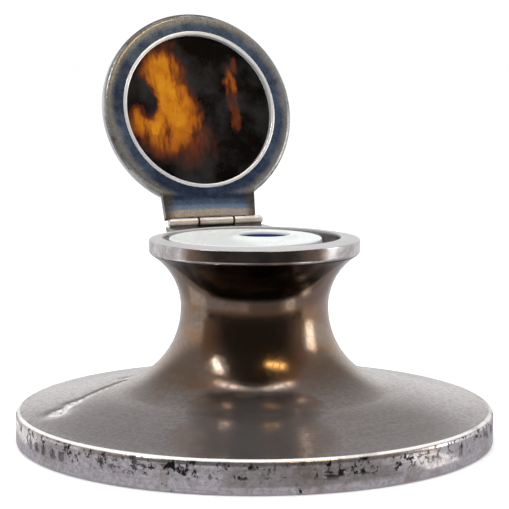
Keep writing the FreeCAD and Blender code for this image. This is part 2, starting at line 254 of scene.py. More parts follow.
def makeSpunSilver():
    look = spunSilverLook
    material, tree, shader, place = newMaterial("spunSilver")
    parts = addNode(tree, "ShaderNodeSeparateXYZ", {0: place}).outputs
    height = parts["Z"]
    neck = addRange(tree, height, look["neckFrom"], look["neckFull"])
    # painted shade under the collar, standing in for the dark reflection there: it reaches lowest at the front and
    # the back
    turn = addMath(tree, "ARCTAN2", parts["X"], addMath(tree, "MULTIPLY", parts["Y"], -1.0))
    side = addMath(tree, "SINE", addMath(tree, "SUBTRACT", turn, math.radians(look["shadeBearing"])))
    rise = addMath(tree, "MULTIPLY", addMath(tree, "POWER", addMath(tree, "ABSOLUTE", side), 4.0), look["shadeRise"])
    shade = addRange(tree, addMath(tree, "SUBTRACT", height, rise), look["shadeFrom"], look["shadeFull"])
    footTop, blend = look["footTop"], look["footBlend"]
    foot = addRange(tree, height, footTop + blend, footTop - blend)
    cloud = useGroup(tree, toningPatches, Place=place, Scale=26.0, Low=0.40, High=0.75)["Mask"]
    fineCloud = useGroup(tree, toningPatches, Place=place, Scale=900.0, Low=0.38, High=0.66)["Mask"]
    lines = useGroup(tree, turnedLines, Place=place, Density=2600.0)["Height"]
    colour = addMix(tree, neck, look["domeTone"], look["neckTone"])
    # the neck's toning: amber smears at the waist, partly toning and partly painted warm glints; near-black painted
    # shade under the collar, standing in for the dark reflection there
    flat = addNode(tree, "ShaderNodeMapping", {"Vector": place, "Scale": (1.0, 1.0, 3.0)}).outputs[0]
    smear = useGroup(tree, toningPatches, Place=flat, Scale=70.0, Low=0.44, High=0.70)["Mask"]
    smeared = addMath(tree, "MULTIPLY", addMath(tree, "MULTIPLY", smear, neck), look["smearAmount"])
    colour = addMix(tree, smeared, colour, look["amberTone"])
    shaded = addMath(tree, "MULTIPLY", shade, addMath(tree, "SUBTRACT", 1.0, addMath(tree, "MULTIPLY", smear, 0.3)))
    colour = addMix(tree, foot, colour, look["footTone"])
    smudge = useGroup(tree, toningPatches, Place=place, Scale=85.0, Low=0.45, High=0.70)["Mask"]
    smudged = addMath(tree, "MULTIPLY", addMath(tree, "MULTIPLY", smudge, foot), look["smudgeAmount"])
    colour = addMix(tree, smudged, colour, look["tarnishTone"])
    colour = addMix(tree, addMath(tree, "MULTIPLY", cloud, look["cloudAmount"]), colour, look["tarnishTone"])
    colour = addMix(tree, addMath(tree, "MULTIPLY", fineCloud, look["grainAmount"]), colour, look["grainTone"])
    grooves = addMath(tree, "MULTIPLY", addRange(tree, lines, 0.4, 0.7), look["lineAmount"])
    colour = addMix(tree, grooves, colour, look["grainTone"])
    # the painted shade under the collar goes on over every tone before it
    colour = addMix(tree, shaded, colour, look["shadeTone"])
    # pits crowd the upper part of the foot band, in drifts
    drift = useGroup(tree, toningPatches, Place=place, Scale=34.0, Low=0.28, High=0.50)["Mask"]
    pits = useGroup(tree, corrosionPits, Place=place, Scale=400.0, Amount=0.88)["Mask"]
    band = addMath(tree, "MULTIPLY", addRange(tree, height, *look["pitBand"]), addMath(tree, "MULTIPLY", foot, drift))
    spots = useGroup(tree, corrosionPits, Place=place, Scale=260.0, Amount=0.52)["Mask"]
    pitted = addMath(tree, "MAXIMUM", addMath(tree, "MULTIPLY", pits, band), addMath(tree, "MULTIPLY", spots, foot))
    # a row of blank punched marks on the foot band
    markUp = addMath(tree, "DIVIDE", addMath(tree, "SUBTRACT", height, look["markHeight"]), look["markSize"][1])
    punched = None
    for bearing in look["markBearings"]:
        away = addMath(tree, "SUBTRACT", turn, math.radians(bearing))
        markOver = addMath(tree, "MULTIPLY", away, look["bandRadius"] / look["markSize"][0])
        reach = addMath(tree, "ADD", addMath(tree, "POWER", addMath(tree, "ABSOLUTE", markOver), 3.0),
                        addMath(tree, "POWER", addMath(tree, "ABSOLUTE", markUp), 3.0))
        mark = addRange(tree, reach, 1.2, 0.7)
        punched = mark if punched is None else addMath(tree, "MAXIMUM", punched, mark)
    colour = addMix(tree, addMath(tree, "MULTIPLY", punched, look["markAmount"]), colour, look["pitTone"])
    colour = addMix(tree, pitted, colour, look["pitTone"])
    # painted highlight in the dome's crease, pale and matt where the dent is deepest
    creaseHighlight = addNode(tree, "ShaderNodeAttribute", attribute_name="creaseHighlight").outputs["Fac"]
    creaseHighlight = addMath(tree, "MULTIPLY", creaseHighlight, addRange(tree, fineCloud, 0.0, 1.0, 0.95, 0.45))
    colour = addMix(tree, creaseHighlight, colour, look["highlightTone"])
    # painted highlight along the foot's rim: a thin pale, matt band, patchy with the cloud
    rimLineStart, rimLineFull, rimLineFade, rimLineEnd = look["rimHighlight"]
    rimHighlight = addMath(tree, "MULTIPLY", addRange(tree, height, rimLineStart, rimLineFull),
                     addRange(tree, height, rimLineEnd, rimLineFade))
    rimHighlight = addMath(tree, "MULTIPLY", rimHighlight, addRange(tree, cloud, 0.0, 1.0, 0.9, 0.3))
    colour = addMix(tree, rimHighlight, colour, look["highlightTone"])
    matt = addMath(tree, "MAXIMUM", creaseHighlight, rimHighlight)
    tree.links.new(colour, shader.inputs["Base Color"])
    metallic = addMath(tree, "SUBTRACT", addRange(tree, neck, 0.0, 1.0, *look["metallic"]),
                       addMath(tree, "MULTIPLY", matt, 0.5))
    tree.links.new(metallic, shader.inputs["Metallic"])
    rough = addMath(tree, "ADD", addRange(tree, fineCloud, 0.0, 1.0, *look["roughness"]),
                    addMath(tree, "MULTIPLY", addMath(tree, "MAXIMUM", pitted, matt), 0.3), True)
    tree.links.new(rough, shader.inputs["Roughness"])
    hairs = useGroup(tree, hairlines, Place=place, Scale=500.0)["Height"]
    relief = addMath(tree, "SUBTRACT", addMath(tree, "MULTIPLY", lines, 0.5), addMath(tree, "MULTIPLY", hairs, 0.1))
    sunk = addMath(tree, "MAXIMUM", pitted, addMath(tree, "MULTIPLY", punched, 1.5))
    addBump(tree, shader, addMath(tree, "SUBTRACT", relief, sunk), 0.00005, 0.22)
    return material


bodyShellSizes = {
    "waistRadius": 19.67 * mm, "waistHeight": 35.2 * mm, "footHeight": 8.6 * mm, "rimRadius": 1.6 * mm,
    "domeInnerHeight": 13.7 * mm, "domeSlope": 8.0, "wall": 0.8 * mm, "footEdge": 0.3 * mm,
    "lipRadius": 27.5 * mm, "steps": 512,
    "creaseFrom": (-52.7 * mm, 3.2 * mm), "creaseTo": (-31.5 * mm, 16.0 * mm), "creaseDepth": 0.5 * mm,
    "creaseWidth": 1.1 * mm, "dents": [(-54.0, 2.0, 3.0, 0.7), (-49.0, 6.5, 2.2, 0.5), (-29.0, 20.0, 2.2, 0.5)],
    # the crease's painted highlight starts at the dent depth given last on the next line and is full at twice it
    "waviness": 0.07 * mm, "creaseHighlightFrom": 0.22 * mm,
}


def drawSkin(bm, start, inset):
    # the outer curve from the foot up to the lip, or the same curve a wall inside
    sizes = bodyShellSizes
    low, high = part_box("body_shell")
    slope = math.radians(sizes["domeSlope"])
    rim = sizes["rimRadius"]
    rimCentre = Vector((high.x - rim, 0, sizes["footHeight"] - rim * math.cos(slope)))
    vert = drawLine(bm, start, rimCentre + Vector((rim - inset, 0, 0)))
    vert = drawArc(bm, vert, rimCentre, -(90 - sizes["domeSlope"]), 10)
    lowRadius = (sizes["waistHeight"] - sizes["domeInnerHeight"]) / math.cos(slope)
    lowCentre = Vector((sizes["waistRadius"] + lowRadius, 0, sizes["waistHeight"]))
    domeEnd = lowCentre + Vector((-math.sin(slope), 0, -math.cos(slope))) * (lowRadius + inset)
    domeStart = vert.co.copy()
    pole = (domeEnd - domeStart).length / 3
    outerPole = domeStart + Vector((-math.cos(slope), 0, math.sin(slope))) * pole
    innerPole = domeEnd + Vector((math.cos(slope), 0, -math.sin(slope))) * pole
    fine = 44 if inset == 0 else 10
    for point in interpolate_bezier(domeStart, outerPole, innerPole, domeEnd, fine)[1:]:
        vert = drawLine(bm, vert, point)
    vert = drawArc(bm, vert, lowCentre, 90 - sizes["domeSlope"], fine)
    reach = sizes["lipRadius"] - sizes["waistRadius"]
    neckHeight = high.z - sizes["waistHeight"]
    highRadius = (reach ** 2 + neckHeight ** 2) / (2 * reach)
    highCentre = Vector((sizes["waistRadius"] + highRadius, 0, sizes["waistHeight"]))
    turn = math.degrees(math.asin(neckHeight / (highRadius + inset)))
    return drawArc(bm, vert, highCentre, turn, fine // 2)


def dentAt(x, y):
    # how far the dome is pushed in at a place, in metres
    sizes = bodyShellSizes
    start, end = Vector(sizes["creaseFrom"]), Vector(sizes["creaseTo"])
    here = Vector((x, y))
    along = max(0.0, min(1.0, (here - start).dot(end - start) / (end - start).length_squared))
    away = (here - start.lerp(end, along)).length
    depth = sizes["creaseDepth"] * math.exp(-(away / sizes["creaseWidth"]) ** 2)
    for dentX, dentY, width, deep in sizes["dents"]:
        away = (here - Vector((dentX * mm, dentY * mm))).length
        depth += deep * mm * math.exp(-(away / (width * mm)) ** 2)
    return depth


def makeBodyShell():
    sizes = bodyShellSizes
    low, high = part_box("body_shell")
    bm = bmesh.new()
    edge = sizes["footEdge"]
    first = bm.verts.new((high.x - edge, 0, low.z))
    vert = drawArc(bm, first, Vector((high.x - edge, 0, low.z + edge)), -90, 4)
    outerTop = drawSkin(bm, vert, 0)
    innerFoot = drawLine(bm, first, Vector((high.x - sizes["wall"], 0, low.z)))
    innerTop = drawSkin(bm, innerFoot, sizes["wall"])
    bm.edges.new((outerTop, innerTop))
    closeSpin(bm, sizes["steps"])
    # the crease's painted highlight is stored as a mask of how deep the dent is
    creaseHighlight = bm.verts.layers.float.new("creaseHighlight")
    for vert in bm.verts:
        co = vert.co
        radius = math.hypot(co.x, co.y)
        if radius > sizes["waistRadius"] + 6 * mm and co.z > sizes["footHeight"] - sizes["rimRadius"]:
            fade = min(1.0, (high.x - radius) / (3 * mm))
            dent = dentAt(co.x, co.y) * fade
            co.z -= dent
            vert[creaseHighlight] = max(0.0, min(1.0, (dent - sizes["creaseHighlightFrom"]) / sizes["creaseHighlightFrom"]))
            co.z += noise.noise(co * 45) * sizes["waviness"] * fade
    return newPiece(bm, "bodyShell", "body", ["body_shell"], makeSpunSilver(), 50)


makeBodyShell()
print("body shell made")

# collar, hinge and lid metal

tonedSilverLooks = {
    "collarSilver": {"tone": (0.70, 0.67, 0.68, 1), "tarnish": (0.25, 0.21, 0.20, 1), "amount": 0.6, "scale": 130.0,
                     "roughness": (0.16, 0.25), "metallic": 1.0},
    "hingeSilver": {"tone": (0.95, 0.90, 0.83, 1), "tarnish": (0.35, 0.27, 0.20, 1), "amount": 0.5, "scale": 120.0,
                    "roughness": (0.18, 0.26), "metallic": 0.62},
    "bezelSilver": {"tone": (0.95, 0.95, 0.95, 1), "tarnish": (0.70, 0.70, 0.70, 1), "amount": 0.3, "scale": 120.0,
                    "roughness": (0.2, 0.26), "metallic": 0.6},
    "sleeveMetal": {"tone": (0.50, 0.40, 0.24, 1), "tarnish": (0.15, 0.11, 0.07, 1), "amount": 0.7, "scale": 120.0,
                    "roughness": (0.35, 0.55), "metallic": 1.0},
}


# what wear adds to the collar and painted shade adds to the hinge; the collar's top rises inwards by its crown
wearAndShadeLook = {
    "collarCrown": 0.55 * mm,
    "worn": (0.47, 0.47, 0.48, 1), "wornFrom": 0.2 * mm, "wornRoughness": 0.35,
    # the dark tone on the next line paints shade in the knuckle gaps and under the barrel
    "hingeShade": (0.020, 0.016, 0.014, 1), "jointHalf": 0.3 * mm, "hingeShadeFrom": 0.35 * mm, "hingeShadeFull": 0.85 * mm,
}


def makeTonedSilver(name, wornHeight=None, joints=()):
    look = tonedSilverLooks[name]
    material, tree, shader, place = newMaterial(name)
    cloud = useGroup(tree, toningPatches, Place=place, Scale=look["scale"], Low=0.4, High=0.7)["Mask"]
    fine = useGroup(tree, toningPatches, Place=place, Scale=look["scale"] * 8, Low=0.35, High=0.75)["Mask"]
    toned = addMath(tree, "MULTIPLY", addMath(tree, "ADD", cloud, addMath(tree, "MULTIPLY", fine, 0.4), True),
                    look["amount"])
    colour = addMix(tree, toned, look["tone"], look["tarnish"])
    rough = addRange(tree, fine, 0.0, 1.0, *look["roughness"])
    parts = addNode(tree, "ShaderNodeSeparateXYZ", {0: place}).outputs
    shader.inputs["Metallic"].default_value = look["metallic"]
    if wornHeight is not None:
        # a top face rubbed pale and matt
        worn = addRange(tree, parts["Z"], wornHeight - wearAndShadeLook["wornFrom"], wornHeight + wearAndShadeLook["wornFrom"] / 2)
        worn = addMath(tree, "MULTIPLY", worn, addRange(tree, fine, 0.0, 1.0, 1.0, 0.75))
        colour = addMix(tree, worn, colour, wearAndShadeLook["worn"])
        rough = addMath(tree, "ADD", rough, addMath(tree, "MULTIPLY", worn, wearAndShadeLook["wornRoughness"]), True)
        tree.links.new(addRange(tree, worn, 0.0, 1.0, 1.0, 0.3), shader.inputs["Metallic"])
    if joints:
        # painted shade between the knuckles and under the barrel
        below = addMath(tree, "SUBTRACT", hinge["pos_m"][2], parts["Z"])
        hingeShade = addMath(tree, "MULTIPLY", addRange(tree, below, wearAndShadeLook["hingeShadeFrom"], wearAndShadeLook["hingeShadeFull"]), 0.75)
        for joint in joints:
            away = addMath(tree, "ABSOLUTE", addMath(tree, "SUBTRACT", parts["X"], joint))
            half = wearAndShadeLook["jointHalf"]
            hingeShade = addMath(tree, "MAXIMUM", hingeShade, addRange(tree, away, 1.3 * half, 0.7 * half))
        colour = addMix(tree, hingeShade, colour, wearAndShadeLook["hingeShade"])
    tree.links.new(colour, shader.inputs["Base Color"])
    tree.links.new(rough, shader.inputs["Roughness"])
    hairs = useGroup(tree, hairlines, Place=place, Scale=600.0)["Height"]
    relief = addMath(tree, "SUBTRACT", addMath(tree, "MULTIPLY", fine, 0.4), addMath(tree, "MULTIPLY", hairs, 0.2))
    addBump(tree, shader, relief, 0.00003, 0.2)
    return material


def paintNode(name, material):
    mesh = nodes[name].data
    mesh.materials.clear()
    mesh.materials.append(material)


# places on the lid: across it, up it from its centre, and out of its face
lidLow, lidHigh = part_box("lid_bezel")
hingePlace = Vector(hinge["pos_m"])
openTurn = math.radians(106)
lidUp = Vector((0, -math.cos(openTurn), math.sin(openTurn)))
lidOut = Vector((0, -math.sin(openTurn), -math.cos(openTurn)))
lidCentre = (lidLow + lidHigh) / 2

lidSilverLook = {
    "navy": (0.035, 0.065, 0.14, 1), "blue": (0.12, 0.19, 0.32, 1), "grey": (0.30, 0.33, 0.38, 1),
    "beige": (0.38, 0.37, 0.34, 1), "tan": (0.80, 0.72, 0.62, 1), "brown": (0.12, 0.09, 0.065, 1),
    # light-blue painted highlight band on the strap
    "strapHighlight": (0.30, 0.44, 0.68, 1),
    "side": (0.47, 0.48, 0.54, 1), "navyTo": 0.0243, "beigeFrom": 0.0268, "rimFrom": 0.0274, "rimBlend": 0.0006,
    "faceOut": 0.000525, "faceEdge": 0.0015, "tanBand": (0.0006, 0.0015), "strapHighlightBand": (0.0025, 0.0036),
    "blueBand": (0.0038, 0.0050), "navyBand": (0.0052, 0.0066), "strapEdge": (0.0095, 0.0130),
    "strapLength": (0.0085, 0.0070), "strapHalf": (0.0146, 0.0140),
}


def lidPlace(tree, place):
    # distance from the lid's centre line, measured on the panel's plane
    moved = addNode(tree, "ShaderNodeVectorMath", {0: place, 1: lidCentre}, operation="SUBTRACT").outputs[0]
    across = addNode(tree, "ShaderNodeSeparateXYZ", {0: moved}).outputs["X"]
    up = addNode(tree, "ShaderNodeVectorMath", {0: moved, 1: lidUp}, operation="DOT_PRODUCT").outputs["Value"]
    out = addNode(tree, "ShaderNodeVectorMath", {0: moved, 1: lidOut}, operation="DOT_PRODUCT").outputs["Value"]
    radius = addMath(tree, "SQRT", addMath(tree, "ADD", addMath(tree, "MULTIPLY", across, across),
                                           addMath(tree, "MULTIPLY", up, up)))
    return across, up, out, radius


def makeLidSilver():
    look = lidSilverLook
    material, tree, shader, place = newMaterial("lidSilver")
    across, up, out, radius = lidPlace(tree, place)
    cloud = useGroup(tree, toningPatches, Place=place, Scale=75.0, Low=0.35, High=0.7)["Mask"]
    fine = useGroup(tree, toningPatches, Place=place, Scale=700.0, Low=0.35, High=0.75)["Mask"]
    wander = addMath(tree, "ADD", radius, addMath(tree, "MULTIPLY", addMath(tree, "SUBTRACT", cloud, 0.5), 0.0014))
    inner = addMix(tree, cloud, look["navy"], look["blue"])
    outer = addMix(tree, cloud, look["beige"], look["grey"])
    rim = addRange(tree, wander, look["rimFrom"], look["rimFrom"] + look["rimBlend"])
    outer = addMix(tree, addMath(tree, "MULTIPLY", rim, 0.8), outer, look["brown"])
    colour = addMix(tree, addRange(tree, wander, look["navyTo"], look["beigeFrom"]), inner, outer)
    # the strap's toning runs from navy at the ring through blue and tan to brown at the hinge; a light-blue band
    # between the tan and the blue is a painted highlight
    fromHinge = addNode(tree, "ShaderNodeVectorMath", {0: place, 1: hingePlace}, operation="SUBTRACT").outputs[0]
    along = addNode(tree, "ShaderNodeVectorMath", {0: fromHinge, 1: lidUp}, operation="DOT_PRODUCT").outputs["Value"]
    along = addMath(tree, "ADD", along, addMath(tree, "MULTIPLY", addMath(tree, "SUBTRACT", cloud, 0.5), 0.0008))
    strap = addMix(tree, addRange(tree, along, *look["tanBand"]), look["brown"], look["tan"])
    for tone, band in (("strapHighlight", "strapHighlightBand"), ("blue", "blueBand"), ("navy", "navyBand")):
        strap = addMix(tree, addRange(tree, along, *look[band]), strap, look[tone])
    sides = addMath(tree, "ABSOLUTE", across)
    strapEdge = addMath(tree, "MULTIPLY", addRange(tree, sides, *look["strapEdge"]), 0.8)
    strap = addMix(tree, strapEdge, strap, look["brown"])
    onStrap = addMath(tree, "MULTIPLY", addRange(tree, along, *look["strapLength"]),
                      addRange(tree, sides, *look["strapHalf"]))
    front = addRange(tree, out, look["faceOut"] - look["faceEdge"], look["faceOut"] - 0.7 * look["faceEdge"])
    colour = addMix(tree, onStrap, colour, strap)
    colour = addMix(tree, front, look["side"], colour)
    colour = addMix(tree, addMath(tree, "MULTIPLY", fine, 0.2), colour, look["brown"])
    tree.links.new(colour, shader.inputs["Base Color"])
    shader.inputs["Metallic"].default_value = 0.75
    tree.links.new(addRange(tree, fine, 0.0, 1.0, 0.24, 0.38), shader.inputs["Roughness"])
    hairs = useGroup(tree, hairlines, Place=place, Scale=500.0)["Height"]
    relief = addMath(tree, "SUBTRACT", addMath(tree, "MULTIPLY", fine, 0.4), addMath(tree, "MULTIPLY", hairs, 0.5))
    addBump(tree, shader, relief, 0.00003, 0.25)
    return material


# tortoiseshell: amber patches in near-black brown

tortoiseshellLook = {
    "dark": (0.002, 0.0015, 0.0015, 1), "smoke": (0.017, 0.016, 0.016, 1), "amber": (0.35, 0.100, 0.002, 1),
    "honey": (0.47, 0.185, 0.004, 1), "red": (0.10, 0.020, 0.005, 1),
    "patches": [(-0.44, 0.44, 0.24, 0.34, 10.0, 1.0), (-0.34, 0.08, 0.28, 0.36, 12.0, 1.0),
                (-0.60, -0.16, 0.30, 0.22, -12.0, 0.95), (-0.46, -0.36, 0.30, 0.28, 16.0, 0.85),
                (-0.16, -0.14, 0.18, 0.16, 20.0, 0.7), (-0.18, -0.46, 0.36, 0.30, 10.0, 0.50),
                (0.45, 0.32, 0.07, 0.22, 0.0, 0.50), (0.48, 0.02, 0.06, 0.32, 0.0, 0.32),
                (-0.50, 0.76, 0.30, 0.09, 24.0, 0.30), (0.54, 0.56, 0.05, 0.10, 0.0, 0.30)],
    "shadows": [(-0.68, 0.14, 0.11, 0.24, 14.0)],
}


def ellipseMask(tree, across, up, centreX, centreY, halfWidth, halfHeight, tilt, soft):
    turn = math.radians(tilt)
    x = addMath(tree, "SUBTRACT", across, centreX)
    y = addMath(tree, "SUBTRACT", up, centreY)
    along = addMath(tree, "ADD", addMath(tree, "MULTIPLY", x, math.cos(turn) / halfWidth),
                    addMath(tree, "MULTIPLY", y, math.sin(turn) / halfWidth))
    other = addMath(tree, "ADD", addMath(tree, "MULTIPLY", x, -math.sin(turn) / halfHeight),
                    addMath(tree, "MULTIPLY", y, math.cos(turn) / halfHeight))
    reach = addMath(tree, "SQRT", addMath(tree, "ADD", addMath(tree, "MULTIPLY", along, along),
                                          addMath(tree, "MULTIPLY", other, other)))
    return addRange(tree, reach, 1.0 + soft, 1.0 - soft)


def makeTortoiseshell():
    look = tortoiseshellLook
    material, tree, shader, place = newMaterial("tortoiseshell")
    across, up, out, radius = lidPlace(tree, place)
    half = (lidHigh.x - lidLow.x) / 2
    warp = addNode(tree, "ShaderNodeTexNoise", {"Vector": place, "Scale": 140.0, "Detail": 4.0, "Roughness": 0.6})
    warpParts = addNode(tree, "ShaderNodeSeparateXYZ", {0: warp.outputs["Color"]})
    x = addMath(tree, "ADD", addMath(tree, "DIVIDE", across, half),
                addMath(tree, "MULTIPLY", addMath(tree, "SUBTRACT", warpParts.outputs["X"], 0.5), 0.28))
    y = addMath(tree, "ADD", addMath(tree, "DIVIDE", up, half),
                addMath(tree, "MULTIPLY", addMath(tree, "SUBTRACT", warpParts.outputs["Y"], 0.5), 0.28))
    amount = None
    for centreX, centreY, halfWidth, halfHeight, tilt, strength in look["patches"]:
        mask = addMath(tree, "MULTIPLY",
                       ellipseMask(tree, x, y, centreX, centreY, halfWidth, halfHeight, tilt, 0.55), strength)
        amount = mask if amount is None else addMath(tree, "MAXIMUM", amount, mask)
    for centreX, centreY, halfWidth, halfHeight, tilt in look["shadows"]:
        shadow = ellipseMask(tree, x, y, centreX, centreY, halfWidth, halfHeight, tilt, 0.4)
        amount = addMath(tree, "MULTIPLY", amount, addMath(tree, "SUBTRACT", 1.0, shadow))
    smoke = addNode(tree, "ShaderNodeTexNoise", {"Vector": place, "Scale": 90.0, "Detail": 5.0, "Roughness": 0.65})
    ground = addMix(tree, addRange(tree, smoke.outputs["Fac"], 0.4, 0.7), look["dark"], look["smoke"])
    amount = addMath(tree, "MULTIPLY", amount, addRange(tree, y, -0.72, -0.08, 0.45, 1.0))
    streak = addNode(tree, "ShaderNodeMapping", {"Vector": place, "Scale": (2.6, 0.7, 0.7)}).outputs[0]
    mottle = addNode(tree, "ShaderNodeTexNoise", {"Vector": streak, "Scale": 170.0, "Detail": 5.0, "Roughness": 0.6})
    amount = addMath(tree, "MULTIPLY", amount, addRange(tree, mottle.outputs["Fac"], 0.28, 0.58, 0.42, 1.12), True)
    colour = addMix(tree, addRange(tree, amount, 0.05, 0.45), ground, look["red"])
    colour = addMix(tree, addRange(tree, amount, 0.3, 0.85), colour, look["amber"])
    colour = addMix(tree, addMath(tree, "MULTIPLY", addRange(tree, amount, 0.75, 1.0),
                                  addRange(tree, smoke.outputs["Fac"], 0.35, 0.65)), colour, look["honey"])
    tree.links.new(colour, shader.inputs["Base Color"])
    tree.links.new(addRange(tree, smoke.outputs["Fac"], 0.3, 0.7, 0.24, 0.34), shader.inputs["Roughness"])
    shader.inputs["IOR"].default_value = 1.2
    shader.inputs["Coat Weight"].default_value = 0.05
    ripple = addNode(tree, "ShaderNodeTexNoise", {"Vector": place, "Scale": 900.0, "Detail": 3.0})
    addBump(tree, shader, ripple.outputs["Fac"], 0.00003, 0.4)
    return material


# glazed pot, stained by ink round its mouth

glazedPotLook = {
    "glaze": (0.57, 0.61, 0.61, 1), "warm": (0.56, 0.52, 0.43, 1), "ink": (0.03, 0.045, 0.22, 1),
    "mouthPlace": (2.31, -0.95, 0), "stainRadius": (0.0078, 0.0074), "stainDepth": (0.0007, 0.0010),
}


def makeGlazedPot():
    look = glazedPotLook
    material, tree, shader, place = newMaterial("glazedPot")
    low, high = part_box("ink_liner")
    height = addNode(tree, "ShaderNodeSeparateXYZ", {0: place}).outputs["Z"]
    cloud = useGroup(tree, toningPatches, Place=place, Scale=70.0, Low=0.35, High=0.75)["Mask"]
    colour = addMix(tree, addMath(tree, "MULTIPLY", cloud, 0.35), look["glaze"], look["warm"])
    mouth = Vector(look["mouthPlace"]) * mm
    moved = addNode(tree, "ShaderNodeVectorMath", {0: place, 1: mouth}, operation="SUBTRACT").outputs[0]
    flat = addNode(tree, "ShaderNodeVectorMath", {0: moved, 1: (1, 1, 0)}, operation="MULTIPLY").outputs[0]
    radius = addNode(tree, "ShaderNodeVectorMath", {0: flat}, operation="LENGTH").outputs["Value"]
    stain = addNode(tree, "ShaderNodeTexNoise", {"Vector": place, "Scale": 300.0, "Detail": 4.0})
    edge = addMath(tree, "ADD", radius, addMath(tree, "MULTIPLY", stain.outputs["Fac"], 0.0006))
    inside = addRange(tree, edge, *look["stainRadius"])
    shallow, deep = look["stainDepth"]
    below = addRange(tree, height, high.z - shallow, high.z - deep)
    colour = addMix(tree, addMath(tree, "MULTIPLY", inside, below), colour, look["ink"])
    tree.links.new(colour, shader.inputs["Base Color"])
    tree.links.new(addRange(tree, cloud, 0.0, 1.0, 0.22, 0.30), shader.inputs["Roughness"])
    shader.inputs["IOR"].default_value = 1.25
    ripple = addNode(tree, "ShaderNodeTexNoise", {"Vector": place, "Scale": 220.0, "Detail": 2.0})
    addBump(tree, shader, ripple.outputs["Fac"], 0.00012, 0.4)
    return material


boardWoodLook = {"dark": (0.20, 0.10, 0.045, 1), "pale": (0.36, 0.21, 0.10, 1), "grainScale": 60.0,
                 "roughness": (0.5, 0.75)}


def makeBoardWood():
    look = boardWoodLook
    material, tree, shader, place = newMaterial("boardWood")
    grain = addNode(tree, "ShaderNodeMapping", {"Vector": place, "Scale": (1.0, 14.0, 14.0)})
    rings = addNode(tree, "ShaderNodeTexNoise",
                    {"Vector": grain.outputs[0], "Scale": look["grainScale"], "Detail": 6.0})
    colour = addMix(tree, addRange(tree, rings.outputs["Fac"], 0.35, 0.7), look["dark"], look["pale"])
    tree.links.new(colour, shader.inputs["Base Color"])
    tree.links.new(addRange(tree, rings.outputs["Fac"], 0.2, 0.8, *look["roughness"]), shader.inputs["Roughness"])
    addBump(tree, shader, rings.outputs["Fac"], 0.0001, 0.6)
    return material


baizeLook = {"dark": (0.010, 0.060, 0.030, 1), "pale": (0.035, 0.15, 0.085, 1), "worn": (0.10, 0.13, 0.08, 1),
             "napScale": 1800.0, "wornAmount": 0.4}


def makeBaize():
    look = baizeLook
    material, tree, shader, place = newMaterial("baize")
    nap = addNode(tree, "ShaderNodeTexNoise",
                  {"Vector": place, "Scale": look["napScale"], "Detail": 4.0, "Roughness": 0.8})
    worn = useGroup(tree, toningPatches, Place=place, Scale=45.0, Low=0.4, High=0.75)["Mask"]
    colour = addMix(tree, addRange(tree, nap.outputs["Fac"], 0.3, 0.7), look["dark"], look["pale"])
    colour = addMix(tree, addMath(tree, "MULTIPLY", worn, look["wornAmount"]), colour, look["worn"])
    tree.links.new(colour, shader.inputs["Base Color"])
    shader.inputs["Roughness"].default_value = 0.95
    shader.inputs["Sheen Weight"].default_value = 0.4
    addBump(tree, shader, nap.outputs["Fac"], 0.0003, 0.8)
    return material


pitchLook = {"dark": (0.02, 0.015, 0.012, 1), "pale": (0.10, 0.075, 0.055, 1), "lumpScale": 260.0,
             "roughness": (0.45, 0.8)}


def makePitch():
    look = pitchLook
    material, tree, shader, place = newMaterial("pitchLoading")
    lumps = addNode(tree, "ShaderNodeTexNoise",
                    {"Vector": place, "Scale": look["lumpScale"], "Detail": 6.0, "Roughness": 0.7})
    colour = addMix(tree, addRange(tree, lumps.outputs["Fac"], 0.35, 0.7), look["dark"], look["pale"])
    tree.links.new(colour, shader.inputs["Base Color"])
    tree.links.new(addRange(tree, lumps.outputs["Fac"], 0.2, 0.8, *look["roughness"]), shader.inputs["Roughness"])
    addBump(tree, shader, lumps.outputs["Fac"], 0.0006, 0.8)
    return material


lidSilver = makeLidSilver()
hingeSilver = makeTonedSilver("hingeSilver", joints=[corner.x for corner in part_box("lid_knuckle")])
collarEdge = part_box("collar_ring")[1].z - wearAndShadeLook["collarCrown"]
paintNode("collar_ring", makeTonedSilver("collarSilver", wornHeight=collarEdge))
paintNode("foot_wire", nodes["collar_ring"].data.materials[0])
for name in ("hinge_plate", "left_body_knuckle", "right_body_knuckle", "hinge_pin", "lid_knuckle"):
    paintNode(name, hingeSilver)
for name in ("lid_frame", "lid_tab"):
    paintNode(name, lidSilver)
paintNode("lid_bezel", makeTonedSilver("bezelSilver"))
paintNode("shell_panel", makeTortoiseshell())
paintNode("ink_liner", makeGlazedPot())
paintNode("well_sleeve", makeTonedSilver("sleeveMetal"))
paintNode("base_board", makeBoardWood())
paintNode("base_pad", makeBaize())
paintNode("base_loading", makePitch())
print("materials made")

# studio

studio = {
    "cameraBearing": -22.3, "cameraDistance": 0.46424, "cameraHeight": 0.10714, "cameraPitch": 7.152,
    "lens": 124.73, "floorTone": (0.97, 0.97, 0.97, 1), "skyTone": (1.04, 1.04, 1.04, 1),
    "roomRadius": 6.0, "wallTone": (1.0, 0.99, 1.0, 1), "ceilingTone": (0.40, 0.385, 0.39, 1),
    "wallEdge": (1.0, 2.7), "sheetTone": (0.50, 0.48, 0.52, 1), "tableTone": (0.80, 0.79, 0.80, 1),
    "sheetEdge": (0.09, 0.17), "frontNear": (0.30, 0.23, 0.17, 1), "frontFar": (0.030, 0.025, 0.020, 1),
    "frontEdge": (0.14, 0.23), "darkWall": (0.018, 0.015, 0.012, 1), "paleWall": (0.34, 0.24, 0.17, 1),
    "wallTurn": (math.radians(38), math.radians(84)),
    "stripTone": (1.0, 0.98, 0.95, 1), "stripStrength": 7.0, "stripSize": (0.8, 0.05, 1),
    "stripPlace": (0, -0.02, 0.9),
}


